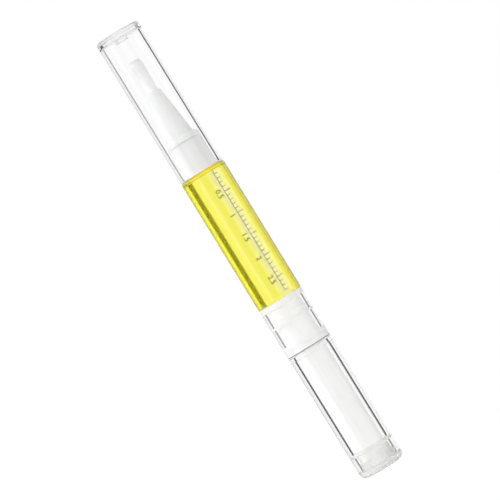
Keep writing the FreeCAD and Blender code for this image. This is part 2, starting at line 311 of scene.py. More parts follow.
def holdEdges(points, closed):
    # keeps the long faces' shading straight
    hold = turning["hold"]
    held = []
    count = len(points)
    for i, (r, z) in enumerate(points):
        held.append((r, z))
        if not closed and i == count - 1:
            break
        r2, z2 = points[(i + 1) % count]
        length = math.hypot(r2 - r, z2 - z)
        if length > 6 * hold:
            for share in (hold / length, 1 - hold / length):
                held.append((r + (r2 - r) * share, z + (z2 - z) * share))
    return held


def smoothPiece(name, mesh, sharp):
    mesh.shade_smooth()
    mesh.set_sharp_from_angle(angle=math.radians(sharp))
    return addObject(name, mesh)


def turnPiece(name, outline, closed=False, shape=None):
    around = turning["around"]
    bm = bmesh.new()
    rings = []
    for r, z in holdEdges(roundCorners(outline, closed), closed):
        if r < rowMark:     # on the axis
            rings.append([bm.verts.new((0, 0, z * mm))])
            continue
        ring = []
        for k in range(around):
            angle = 2 * math.pi * k / around
            x, y = r * math.cos(angle), r * math.sin(angle)
            if shape:
                x, y = shape(r, angle, x, y)
            ring.append(bm.verts.new((x * mm, y * mm, z * mm)))
        rings.append(ring)
    pairs = list(zip(rings, rings[1:]))
    if closed:
        pairs.append((rings[-1], rings[0]))
    for lower, upper in pairs:
        if len(lower) == 1 and len(upper) == 1:
            continue
        for k in range(around):
            n = (k + 1) % around
            if len(lower) == 1:
                bm.faces.new((lower[0], upper[k], upper[n]))
            elif len(upper) == 1:
                bm.faces.new((lower[k], lower[n], upper[0]))
            else:
                bm.faces.new((lower[k], lower[n], upper[n], upper[k]))
    bmesh.ops.remove_doubles(bm, verts=bm.verts, dist=turning["merge"] * mm)
    bmesh.ops.dissolve_degenerate(bm, dist=turning["slim"] * mm, edges=bm.edges)
    bmesh.ops.recalc_face_normals(bm, faces=bm.faces)
    mesh = bpy.data.meshes.new(name)
    bm.to_mesh(mesh)
    bm.free()
    return smoothPiece(name, mesh, turning["sharp"])


def dress(piece, material, body, slotName, *nodes):
    piece.data.materials.clear()
    piece.data.materials.append(material)
    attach(piece, body)
    if nodes:
        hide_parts(*nodes)
    return piece


def reach(node):
    # outer radius, lowest and highest point of a node, in millimetres
    low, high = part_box(node)
    return high.x / mm, low.z / mm, high.z / mm


shoulder = reach("nozzle")[1]       # the nozzle's spigot starts level with the barrel's shoulder
gripDepth = 0.015                   # press fits sink this far into the clear wall, so no air shows there

capSizes = {
    "wall": 1.05, "endWall": 1.9, "crown": 0.4, "crownSteps": (0.0, 0.2, 0.4, 0.6, 0.75),
    "endRound": 0.7, "innerRound": 0.5, "lipRound": 0.12,
    "nub": 1.8, "nubDrop": 1.2, "nubFoot": 0.1, "nubRound": 0.3,
}


def makeCap():
    s = capSizes
    outer, mouth, top = reach("cap")
    bore, ceiling = outer - s["wall"], top - s["endWall"]
    ball = (outer ** 2 + s["crown"] ** 2) / (2 * s["crown"])
    crown = []
    for share in s["crownSteps"]:
        r = share * outer
        crown.append((r, top - ball + math.sqrt(ball ** 2 - r ** 2), 0))
    return turnPiece("capShell", crown + [
        (outer, top - s["crown"], s["endRound"]),
        (outer, mouth, s["lipRound"]), (bore, mouth, s["lipRound"]),
        (bore, ceiling, s["innerRound"]), (s["nub"], ceiling, s["nubFoot"]),
        (s["nub"], ceiling - s["nubDrop"], s["nubRound"]), (0, ceiling - s["nubDrop"], 0),
    ])


barrelSizes = {
    "wall": 1.1, "shoulderWall": 0.9, "neck": 4.6, "neckWall": 0.45, "leadIn": 0.2,
    "land": 4.95, "landHeight": 1.2, "landRound": 0.15, "rearRound": 0.1, "shoulderRound": 0.6,
}
barrelOuter, barrelRear, neckTop = reach("barrel")
barrelBore = barrelOuter - barrelSizes["wall"]
neckBore = barrelSizes["neck"] - barrelSizes["neckWall"]
chamberTop = shoulder - barrelSizes["shoulderWall"]


def makeBarrel():
    s = barrelSizes
    landTop = shoulder + s["landHeight"]
    return turnPiece("barrelShell", [
        (barrelBore, barrelRear, crisp), (barrelOuter, barrelRear, s["rearRound"]),
        (barrelOuter, shoulder, s["shoulderRound"]), (s["land"], shoulder, crisp),
        (s["land"], landTop, s["landRound"]), (s["neck"], landTop, crisp),
        (s["neck"], neckTop - s["leadIn"], crisp), (s["neck"] - s["leadIn"], neckTop, crisp),
        (neckBore, neckTop, crisp), (neckBore, chamberTop, crisp), (barrelBore, chamberTop, crisp),
    ], closed=True)


oilSizes = {
    "cupDepth": 0.8, "cupFloor": 2.2, "cupRim": 4.45, "cupRound": 0.3, "frontRound": 0.02,
    "wetting": 0.02,        # the oil wets the wall, so no air shows between them
    "deep": 0.2,            # the painted amber ring, denser oil and tinted shoulder, starts this far behind the shoulder wall
    "feed": 30.0,           # how far the piston comes up
}
oilFloor, oilFront = reach("oil_fill")[1:]
oilRear = oilFloor + oilSizes["cupDepth"]
columnFront = chamberTop - oilSizes["deep"]


def makeOil():
    s = oilSizes
    wall = barrelBore + s["wetting"]
    return turnPiece("oilColumn", [
        (0, oilFloor, 0), (s["cupFloor"], oilFloor, s["cupRound"]), (s["cupRim"], oilRear, crisp),
        (wall, oilRear, crisp), (wall, columnFront, s["frontRound"]), (0, columnFront, 0),
    ])


def makeShoulderOil():
    s = oilSizes
    wall, neck, step = barrelBore + s["wetting"], neckBore + s["wetting"], chamberTop + s["wetting"]
    rear = columnFront + s["wetting"]
    return turnPiece("oilShoulder", [
        (0, rear, 0), (wall, rear, s["frontRound"]), (wall, step, crisp), (neck, step, crisp),
        (neck, oilFront, crisp), (0, oilFront, 0),
    ])


nozzleSizes = {
    "groove": 0.25, "grooveHeight": 0.22, "grooveRound": 0.03, "spigotRound": 0.1,
    "rim": 0.9, "rimRound": 0.15, "flangeHeight": 1.7, "flangeRound": 0.08,
    "baseRadius": 3.55, "tipRadius": 1.95, "coneRound": 0.25,
    "chamber": 2.4, "chamberDepth": 12.0, "socket": 1.44, "socketRound": 0.08,
}


def makeNozzle():
    s = nozzleSizes
    flange, rear, tip = reach("nozzle")
    rim, coneBase, chamberEnd = neckTop + s["rim"], neckTop + s["flangeHeight"], rear + s["chamberDepth"]
    spigot, groove = neckBore + gripDepth, neckTop - s["grooveHeight"]
    grooveFloor = spigot - s["groove"]
    return turnPiece("nozzleCone", [
        (s["chamber"], rear, crisp), (spigot, rear, s["spigotRound"]), (spigot, groove, s["grooveRound"]),
        (grooveFloor, groove, s["grooveRound"]), (grooveFloor, neckTop, s["grooveRound"]),
        (flange, neckTop, s["flangeRound"]), (flange, rim, s["rimRound"]),
        (s["baseRadius"], coneBase, s["coneRound"]), (s["tipRadius"], tip, s["coneRound"]),
        (s["socket"], tip, s["socketRound"]), (s["socket"], chamberEnd, 0), (s["chamber"], chamberEnd, 0),
    ], closed=True)


pistonSizes = {
    "lipHeight": 1.5, "waistRelief": 0.45, "lipWidth": 0.55, "cupDepth": 0.8, "cupFloor": 2.2,
    "neckHole": 1.35, "headHole": 2.05, "snapWall": 1.4, "headRoom": 1.9, "slit": 0.08,
    "endRound": 0.06, "lipRound": 0.12, "innerRound": 0.1, "cupRound": 0.3,
}


def makePiston():
    s = pistonSizes
    lip, rear, front = reach("piston")
    rear -= s["slit"]
    rearLip, frontLip = rear + s["lipHeight"], front - s["lipHeight"]
    waist, floor, snap = lip - s["waistRelief"], front - s["cupDepth"], rear + s["snapWall"]
    headTop = snap + s["headRoom"]
    wiper = barrelBore + gripDepth      # the front lip is wet with oil
    return turnPiece("pistonCup", [
        (s["neckHole"], rear, crisp), (lip, rear, s["endRound"]), (lip, rearLip, s["lipRound"]),
        (waist, rearLip, s["innerRound"]), (waist, frontLip, s["innerRound"]),
        (wiper, frontLip, s["lipRound"]), (wiper, front, s["endRound"]),
        (lip - s["lipWidth"], front, s["innerRound"]), (s["cupFloor"], floor, s["cupRound"]), (0, floor, 0),
        (0, headTop, 0), (s["headHole"], headTop, s["innerRound"]),
        (s["headHole"], snap, crisp), (s["neckHole"], snap, crisp),
    ], closed=True)


knobSizes = {"wall": 1.52, "frontWall": 1.25, "tubeFlat": 3.6, "edgeRound": 0.2, "boreRound": 0.08}
knobOuter, knobRear, knobFront = reach("knob_sleeve")
knobBore = knobOuter - knobSizes["wall"]


def makeKnob():
    s = knobSizes
    inside = knobFront - s["frontWall"]
    hole, flat = reach("drive_tube")[0] - gripDepth, s["tubeFlat"] - gripDepth

    def flatHole(r, angle, x, y):
        if abs(r - hole) < rowMark:
            y = max(-flat, min(flat, y))
        return x, y

    return turnPiece("knobSleeve", [
        (knobBore, knobRear, s["boreRound"]), (knobOuter, knobRear, s["edgeRound"]),
        (knobOuter, knobFront, s["edgeRound"]), (hole, knobFront, 0), (hole, inside, 0),
        (knobBore, inside, crisp),
    ], closed=True, shape=flatHole)


plugSizes = {
    "edgeRound": 1.7, "flangeHeight": 1.86, "flangeRound": 0.1, "relief": 0.28,
    "bandHeight": 1.0, "bandRound": 0.08,
    "tubeSeat": 3.92, "tubeSeatDepth": 0.4, "cup": 3.5, "cupRound": 0.3, "floor": 1.4,
    "padHeight": 2.0, "padWidth": 3.3, "padCount": 4, "padStart": 31.0,
}
plugFlange, plugTail, plugFront = reach("tail_plug")
plugSeat = plugTail + plugSizes["flangeHeight"]
bandRear = plugFront - plugSizes["bandHeight"]


def makePlug():
    s = plugSizes
    tubeFloor = plugFront - s["tubeSeatDepth"]
    spigot = knobBore + gripDepth
    middle = spigot - s["relief"]
    padRow = middle + rowMark       # rows with this radius carry the locating pads
    padTop = plugSeat + s["padHeight"]
    pitch = 2 * math.pi / s["padCount"]

    def pads(r, angle, x, y):
        if abs(r - padRow) < rowMark / 2:
            off = abs((angle - math.radians(s["padStart"]) + pitch / 2) % pitch - pitch / 2)
            if off < s["padWidth"] / spigot / 2:
                return x * spigot / r, y * spigot / r
        return x, y

    return turnPiece("tailPlug", [
        (0, plugTail, 0), (plugFlange, plugTail, s["edgeRound"]), (plugFlange, plugSeat, s["flangeRound"]),
        (padRow, plugSeat, 0), (padRow, padTop, 0), (middle, padTop, 0),
        (middle, bandRear, crisp), (spigot, bandRear, s["bandRound"]), (spigot, plugFront, s["bandRound"]),
        (s["tubeSeat"], plugFront, crisp), (s["tubeSeat"], tubeFloor, 0), (s["cup"], tubeFloor, crisp),
        (s["cup"], s["floor"], s["cupRound"]), (0, s["floor"], 0),
    ], shape=pads)


# stretches of the clear pieces tinted with painted light and painted shade
bandLooks = {
    "shoulder": (0.99, 0.975, 0.3, 1),      # painted light: the amber that the oil pipes into the clear shoulder
    "rearEdgeShade": (0.34, 0.34, 0.34, 1),      # painted shade: the dark line where the barrel's rear edge meets the knob
    "capEndShade": (0.9, 0.903, 0.9, 1),         # painted shade: the thick end wall is darkened, as the pads are
    # painted shade: the plug is darkened over its locating pads
    "pads": (0.86, 0.86, 0.85, 1),
    "rearDepth": 0.3, "slack": 0.02, "margin": 0.1,
}


def makeBands():
    s = bandLooks
    capTop = reach("cap")[2]
    return {
        "barrel": (
            {"low": columnFront, "high": shoulder + s["slack"], "tint": s["shoulder"]},
            {"low": barrelRear - s["slack"], "high": barrelRear + s["rearDepth"], "tint": s["rearEdgeShade"]},
        ),
        "cap": ({
            "low": capTop - capSizes["endWall"] - s["margin"], "high": capTop + s["margin"], "tint": s["capEndShade"],
        },),
        "plug": ({
            "low": plugSeat + s["slack"], "high": plugSeat + plugSizes["padHeight"] + s["margin"],
            "beyond": knobBore - s["margin"], "tint": s["pads"],
        },),
    }


bands = makeBands()
capClear = clearMaterial("capClear", clearLook, bands["cap"])
barrelClear = clearMaterial("barrelClear", clearLook, bands["barrel"])
clearPlug = clearMaterial("clearPlug", plugLook, bands["plug"])
dress(makeCap(), capClear, "pen_cap", "clear_shell", "cap")
dress(makeBarrel(), barrelClear, "pen_barrel", "clear_shell", "barrel")
dress(makeNozzle(), whites["nozzleWhite"], "pen_barrel", "nozzle_white", "nozzle")
dress(makePiston(), whites["pistonWhite"], "plunger", "piston_white", "piston")
dress(makeKnob(), clearShell, "twist_knob", "clear_shell", "knob_sleeve")
dress(makePlug(), clearPlug, "twist_knob", "clear_plug", "tail_plug")
oil = dress(makeOil(), oils["nailOil"], "pen_barrel", "nail_oil", "oil_fill")
dress(makeShoulderOil(), oils["shoulderOilShade"], "pen_barrel", "nail_oil")
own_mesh(oil)


# inner workings: the solids' own shapes, merged and smoothed
innerPieces = {
    "drive_tube": ("driveTube", "coreWhite", "twist_knob", "core_white"),
    "click_ring": ("clickRing", "rodWhite", "twist_knob", "rod_white"),
    "thread_nut": ("threadNut", "coreWhite", "pen_barrel", "core_white"),
    "retainer_ring": ("retainerRing", "coreWhite", "pen_barrel", "core_white"),
    "screw_rod": ("screwRod", "rodWhite", "feed_rod", "rod_white"),
    "metering_plug": ("meteringPlug", "nozzleWhite", "pen_barrel", "nozzle_white"),
    "tuft_base": ("tuftBase", "bristleWhite", "pen_barrel", "bristle_white"),
    "feed_tube": ("feedTube", "rodWhite", "pen_barrel", "feed_tube_clear"),
}
pressFits = {"thread_nut": barrelBore + gripDepth, "retainer_ring": barrelBore + gripDepth}
copying = {"merge": 0.001, "band": 0.01, "sharp": 30.0}


def smoothCopy(node, name, pressed):
    bm = bmesh.new()
    bm.from_mesh(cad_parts[node].data)
    bmesh.ops.remove_doubles(bm, verts=bm.verts, dist=copying["merge"] * mm)
    widest = max(math.hypot(v.co.x, v.co.y) for v in bm.verts)
    for v in bm.verts:
        r = math.hypot(v.co.x, v.co.y)
        if pressed and r > widest - copying["band"] * mm:      # bands that grip the barrel's bore
            v.co.x *= pressed * mm / r
            v.co.y *= pressed * mm / r
    bm.verts.index_update()
    mesh = bpy.data.meshes.new(name)
    mesh.from_pydata([tuple(v.co) for v in bm.verts], [], [[v.index for v in f.verts] for f in bm.faces])
    bm.free()
    return smoothPiece(name, mesh, copying["sharp"])


for node, (name, white, body, slotName) in innerPieces.items():
    dress(smoothCopy(node, name, pressFits.get(node)), whites[white], body, slotName, node)
print("inner pieces made:", len(innerPieces))


# geometry trees: named inputs at the start, instances made real and given a material at the end

def startTree(name, wholeNumbers, lengths):
    tree = bpy.data.node_groups.new(name, "GeometryNodeTree")
    tree.interface.new_socket("Geometry", in_out="OUTPUT", socket_type="NodeSocketGeometry")
    for label in wholeNumbers:
        tree.interface.new_socket(label, in_out="INPUT", socket_type="NodeSocketInt")
    for label in lengths:
        tree.interface.new_socket(label, in_out="INPUT", socket_type="NodeSocketFloat")
    return tree, addNode(tree, "NodeGroupInput").outputs


def joinAll(tree, *shapes):
    joined = addNode(tree, "GeometryNodeJoinGeometry")
    for shape in shapes:
        tree.links.new(shape, joined.inputs[0])
    return addNode(tree, "GeometryNodeRealizeInstances", {0: joined.outputs[0]}).outputs[0]


def endTree(tree, shape, material):
    coloured = addNode(tree, "GeometryNodeSetMaterial", {"Geometry": shape, "Material": material})
    addNode(tree, "NodeGroupOutput", {0: coloured.outputs[0]})
    return tree


def growFromTree(name, tree, values):
    holder = addObject(name + "Holder", bpy.data.meshes.new(name + "Start"))
    modifier = holder.modifiers.new("grow", "NODES")
    modifier.node_group = tree
    for item in tree.interface.items_tree:
        if item.item_type == "SOCKET" and item.in_out == "INPUT" and item.name in values:
            modifier[item.identifier] = values[item.name]
    bpy.context.view_layer.update()
    seen = holder.evaluated_get(bpy.context.evaluated_depsgraph_get())
    mesh = bpy.data.meshes.new_from_object(seen)
    mesh.name = name
    holder.modifiers.remove(modifier)
    bpy.data.objects.remove(holder)
    return addObject(name, mesh)


# bristle tuft, one filament per point of a sunflower pattern
tuftSizes = {
    "count": 340, "rootRadius": 1.34, "flare": 0.31, "thick": 0.068, "wander": 0.08,
    "rootGap": 0.05, "tipGap": 0.06, "shortest": 0.93, "seed": 7,
    "core": 0.9, "coreEnd": 0.95,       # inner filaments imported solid, as shares of the tuft
    "seedAngle": 137.508, "uneven": (0.985, 1.0), "tipRound": 4.0, "flareBend": 0.85, "waves": 900.0,
    "filamentSteps": 12, "filamentSides": 6, "coreSides": 48, "coreSteps": 6, "coreRings": 3, "sharp": 50.0,
}


def makeTuftTree():
    s = tuftSizes
    tree, given = startTree("tuftFilaments", ["Count"], [
        "Root Radius", "Root", "Length", "Mouth", "Flare", "Thickness", "Wander", "Shortest", "Core", "Core End",
    ])
    calc = calculator(tree)
    cloud = addNode(tree, "GeometryNodeMeshLine", {"Count": given["Count"], "Offset": (0, 0, 0)})
    index = addNode(tree, "GeometryNodeInputIndex").outputs[0]
    share = calc("DIVIDE", calc("ADD", index, 0.5), given["Count"])
    radius = calc("MULTIPLY", calc("SQRT", share), given["Root Radius"])
    angle = calc("MULTIPLY", index, math.radians(s["seedAngle"]))
    spot = vector(tree, calc("MULTIPLY", radius, calc("COSINE", angle)),
                  calc("MULTIPLY", radius, calc("SINE", angle)), given["Root"])
    placed = addNode(tree, "GeometryNodeSetPosition", {"Geometry": cloud.outputs[0], "Position": spot})
    # outer filaments end a little lower, which rounds the tip
    uneven = addNode(tree, "FunctionNodeRandomValue", {
        "Seed": s["seed"], 2: s["uneven"][0], 3: s["uneven"][1],
    }, data_type="FLOAT")
    drop = calc("MULTIPLY", calc("POWER", share, s["tipRound"]), calc("SUBTRACT", 1.0, given["Shortest"]))
    stretch = calc("MULTIPLY", calc("SUBTRACT", 1.0, drop), uneven.outputs[1])
    line = addNode(tree, "GeometryNodeCurvePrimitiveLine", {
        "Start": (0, 0, 0), "End": vector(tree, z=given["Length"]),
    })
    steps = addNode(tree, "GeometryNodeResampleCurve", {"Curve": line.outputs[0], "Count": s["filamentSteps"]})
    grown = addNode(tree, "GeometryNodeInstanceOnPoints", {
        "Points": placed.outputs[0], "Instance": steps.outputs[0], "Scale": vector(tree, 1.0, 1.0, stretch),
    })
    real = addNode(tree, "GeometryNodeRealizeInstances", {0: grown.outputs[0]})
    # past the nozzle's mouth the filaments open out and wander
    place = addNode(tree, "GeometryNodeInputPosition")
    parts = addNode(tree, "ShaderNodeSeparateXYZ", {0: place.outputs[0]})
    above = calc("MAXIMUM", calc("SUBTRACT", parts.outputs[2], given["Mouth"]), 0.0)
    brush = calc("SUBTRACT", calc("ADD", given["Root"], given["Length"]), given["Mouth"])
    along = calc("DIVIDE", above, brush)
    opening = calc("MULTIPLY", calc("POWER", along, s["flareBend"]), given["Flare"])
    noise = addNode(tree, "ShaderNodeTexNoise", {"Vector": place.outputs[0], "Scale": s["waves"], "Detail": 1.0})
    sway = addNode(tree, "ShaderNodeVectorMath", {0: noise.outputs["Color"], 1: (0.5, 0.5, 0.5)},
                   operation="SUBTRACT")
    flat = addNode(tree, "ShaderNodeVectorMath", {0: sway.outputs[0], 1: (1, 1, 0)}, operation="MULTIPLY")
    swayed = addNode(tree, "ShaderNodeVectorMath", {
        0: flat.outputs[0], "Scale": calc("MULTIPLY", along, given["Wander"]),
    }, operation="SCALE")
    side = vector(tree, calc("MULTIPLY", parts.outputs[0], opening), calc("MULTIPLY", parts.outputs[1], opening))
    shift = addNode(tree, "ShaderNodeVectorMath", {0: side, 1: swayed.outputs[0]}, operation="ADD")
    opened = addNode(tree, "GeometryNodeSetPosition", {"Geometry": real.outputs[0], "Offset": shift.outputs[0]})
    ring = addNode(tree, "GeometryNodeCurvePrimitiveCircle", {
        "Resolution": s["filamentSides"], "Radius": given["Thickness"],
    })
    hairs = addNode(tree, "GeometryNodeCurveToMesh", {
        "Curve": opened.outputs[0], "Profile Curve": ring.outputs[0], "Fill Caps": True,
    })
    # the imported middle, from the root to just below the tips
    coreRadius = calc("MULTIPLY", given["Root Radius"], given["Core"])
    cone = addNode(tree, "GeometryNodeMeshCone", {
        "Vertices": s["coreSides"], "Side Segments": s["coreSteps"], "Fill Segments": s["coreRings"],
        "Radius Bottom": coreRadius,
        "Radius Top": calc("MULTIPLY", coreRadius, calc("ADD", given["Flare"], 1.0)),
        "Depth": calc("MULTIPLY", given["Length"], given["Core End"]),
    })
    core = addNode(tree, "GeometryNodeTransform", {
        "Geometry": cone.outputs[0], "Translation": vector(tree, z=given["Root"]),
    })
    return endTree(tree, joinAll(tree, core.outputs[0], hairs.outputs[0]), whites["bristleWhite"])


def makeTuft():
    s = tuftSizes
    root, tip = reach("bristle_tuft")[1:]
    root += s["rootGap"]
    return growFromTree("bristleTuft", makeTuftTree(), {
        "Count": s["count"], "Root Radius": s["rootRadius"] * mm, "Root": root * mm,
        "Length": (tip - s["tipGap"] - root) * mm, "Mouth": reach("nozzle")[2] * mm, "Flare": s["flare"],
        "Thickness": s["thick"] * mm, "Wander": s["wander"] * mm, "Shortest": s["shortest"],
        "Core": s["core"], "Core End": s["coreEnd"],
    })


tuft = makeTuft()
tuft.data.shade_smooth()
tuft.data.set_sharp_from_angle(angle=math.radians(tuftSizes["sharp"]))
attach(tuft, "pen_barrel")
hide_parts("bristle_tuft")
print("bristles grown:", len(tuft.data.polygons), "faces")


# fill scale printed on the barrel: what is left in front of the piston, in millilitres
scaleSizes = {
    "marks": 28, "step": 0.1, "short": 0.9, "long": 1.8, "every": 5,
    "tick": 0.15, "tickPoints": 7,
    "side": 2.4,                        # where the ticks start, right of the middle
    "rule": 0.12, "ruleOff": 0.6,       # the rule's width, and its middle behind the ticks in widths
    "ink": 0.02, "lift": 0.025,
    "figure": 1.9, "figureSide": 0.75, "figureCurve": 4, "strips": 5, "stripWidth": 0.25, "merge": 0.0005,
    "numbers": ("0.5", "1", "1.5", "2", "2.5"),
}
perMillilitre = 1000 / (math.pi * barrelBore ** 2)      # length of the column
printRadius = (barrelOuter + scaleSizes["lift"]) * mm
printTurn = math.radians(cameraLook["turn"])


def makeScaleTree():
    s = scaleSizes
    tree, given = startTree("scaleTicks", ["Marks", "Every"], [
        "Start", "Step", "Side", "Short", "Long", "Tick", "Rule", "Ink", "Radius", "Turn",
    ])
    calc = calculator(tree)
    line = addNode(tree, "GeometryNodeMeshLine", {"Count": given["Marks"], "Offset": (0, 0, 0)})
    number = calc("ADD", addNode(tree, "GeometryNodeInputIndex").outputs[0], 1.0)
    isLong = calc("COMPARE", calc("MODULO", number, given["Every"]), 0.0)
    extra = calc("MULTIPLY", isLong, calc("SUBTRACT", given["Long"], given["Short"]))
    length = calc("ADD", given["Short"], extra)
    middle = calc("ADD", given["Side"], calc("MULTIPLY", length, 0.5))
    height = calc("SUBTRACT", given["Start"], calc("MULTIPLY", number, given["Step"]))
    placed = addNode(tree, "GeometryNodeSetPosition", {
        "Geometry": line.outputs[0], "Position": vector(tree, middle, 0.0, height),
    })
    bar = addNode(tree, "GeometryNodeMeshCube", {
        "Size": vector(tree, 1.0, given["Ink"], given["Tick"]),
        "Vertices X": s["tickPoints"], "Vertices Y": 2, "Vertices Z": 2,
    })
    ticks = addNode(tree, "GeometryNodeInstanceOnPoints", {
        "Points": placed.outputs[0], "Instance": bar.outputs["Mesh"], "Scale": vector(tree, length, 1.0, 1.0),
    })
    # the rule that the ticks stand on
    span = calc("MULTIPLY", given["Step"], given["Marks"])
    rule = addNode(tree, "GeometryNodeMeshCube", {
        "Size": vector(tree, given["Rule"], given["Ink"], span),
        "Vertices X": 2, "Vertices Y": 2, "Vertices Z": 2,
    })
    ruleSide = calc("SUBTRACT", given["Side"], calc("MULTIPLY", given["Rule"], s["ruleOff"]))
    ruleMiddle = calc("SUBTRACT", given["Start"], calc("MULTIPLY", span, 0.5))
    stood = addNode(tree, "GeometryNodeTransform", {
        "Geometry": rule.outputs["Mesh"], "Translation": vector(tree, ruleSide, 0.0, ruleMiddle),
    })
    flat = joinAll(tree, ticks.outputs[0], stood.outputs[0])
    # wrapped round the barrel
    place = addNode(tree, "GeometryNodeInputPosition")
    parts = addNode(tree, "ShaderNodeSeparateXYZ", {0: place.outputs[0]})
    angle = calc("ADD", calc("DIVIDE", parts.outputs[0], given["Radius"]), given["Turn"])
    radius = calc("SUBTRACT", given["Radius"], parts.outputs[1])
    back = calc("MULTIPLY", radius, calc("COSINE", angle))
    curled = vector(tree, calc("MULTIPLY", radius, calc("SINE", angle)), calc("MULTIPLY", back, -1.0),
                    parts.outputs[2])
    wrapped = addNode(tree, "GeometryNodeSetPosition", {"Geometry": flat, "Position": curled})
    return endTree(tree, wrapped.outputs[0], scaleInk)


def makeTicks():
    s = scaleSizes
    return growFromTree("scaleTicks", makeScaleTree(), {
        "Marks": s["marks"], "Every": s["every"], "Start": chamberTop * mm, "Step": s["step"] * perMillilitre * mm,
        "Side": s["side"] * mm, "Short": s["short"] * mm, "Long": s["long"] * mm, "Tick": s["tick"] * mm,
        "Rule": s["rule"] * mm, "Ink": s["ink"] * mm, "Radius": printRadius, "Turn": printTurn,
    })


def makeFigure(words, middle):
    # one number, turned to a mesh, cut into narrow strips and wrapped round the barrel
    s = scaleSizes
    curve = bpy.data.curves.new("figure", "FONT")
    curve.body = words
    curve.size = s["figure"] * mm
    curve.align_x = "CENTER"
    curve.align_y = "CENTER"
    curve.extrude = s["ink"] * mm / 2
    curve.resolution_u = s["figureCurve"]
    holder = addObject("figure", curve)
    bpy.context.view_layer.update()
    mesh = bpy.data.meshes.new_from_object(holder.evaluated_get(bpy.context.evaluated_depsgraph_get()))
    bpy.data.objects.remove(holder)
    bpy.data.curves.remove(curve)
    bm = bmesh.new()
    bm.from_mesh(mesh)
    bpy.data.meshes.remove(mesh)
    bmesh.ops.remove_doubles(bm, verts=bm.verts, dist=s["merge"] * mm)
    for k in range(-s["strips"], s["strips"] + 1):
        everything = bm.verts[:] + bm.edges[:] + bm.faces[:]
        cut = (0, s["stripWidth"] * k * mm, 0)
        bmesh.ops.bisect_plane(bm, geom=everything, plane_co=cut, plane_no=(0, 1, 0))
    for v in bm.verts:
        along, up, out = v.co
        angle = (s["figureSide"] * mm + up) / printRadius + printTurn
        radius = printRadius + out
        v.co = (radius * math.sin(angle), -radius * math.cos(angle), middle * mm - along)
    return bm


def makeFigures():
    whole = bmesh.new()
    for words in scaleSizes["numbers"]:
        bm = makeFigure(words, chamberTop - float(words) * perMillilitre)
        step = bpy.data.meshes.new("figureStep")
        bm.to_mesh(step)
        bm.free()
        whole.from_mesh(step)
        bpy.data.meshes.remove(step)
    mesh = bpy.data.meshes.new("scaleFigures")
    whole.to_mesh(mesh)
    whole.free()
    return addObject("scaleFigures", mesh)


for piece in (makeTicks(), makeFigures()):
    dress(piece, scaleInk, "pen_barrel", "scale_ink")
    print("printed", piece.name, len(piece.data.polygons), "faces")


# floor and studio
floorLook = {"half": 3.0, "drop": 0.02, "paper": (0.82, 0.82, 0.82, 1), "lit": 0.93, "shadowShare": 0.09}


def makeFloor():
    material, tree = newMaterial("palePaper")
    rays = addNode(tree, "ShaderNodeLightPath").outputs
    paper = addNode(tree, "ShaderNodeBsdfDiffuse", {"Color": floorLook["paper"]})
    share = floorLook["shadowShare"]
    thin = addNode(tree, "ShaderNodeBsdfDiffuse", {"Color": (share, share, share, 1)})
    white = addNode(tree, "ShaderNodeEmission", {"Color": (1, 1, 1, 1), "Strength": floorLook["lit"]})
    shown = addNode(tree, "ShaderNodeAddShader", {0: thin.outputs[0], 1: white.outputs[0]})
    clear = addNode(tree, "ShaderNodeBsdfTransparent")
    mirrored = calculator(tree)("MAXIMUM", rays["Is Glossy Ray"], rays["Is Transmission Ray"])
    other = addNode(tree, "ShaderNodeMixShader", {0: mirrored, 1: paper.outputs[0], 2: clear.outputs[0]})
    both = addNode(tree, "ShaderNodeMixShader", {
        0: rays["Is Camera Ray"], 1: other.outputs[0], 2: shown.outputs[0],
    })
    addNode(tree, "ShaderNodeOutputMaterial", {"Surface": both.outputs[0]})
    h, z = floorLook["half"], -floorLook["drop"] * mm
    mesh = bpy.data.meshes.new("paperFloor")
    mesh.from_pydata([(-h, -h, z), (h, -h, z), (h, h, z), (-h, h, z)], [], [(0, 1, 2, 3)])
    mesh.materials.append(material)
    addObject("paperFloor", mesh)


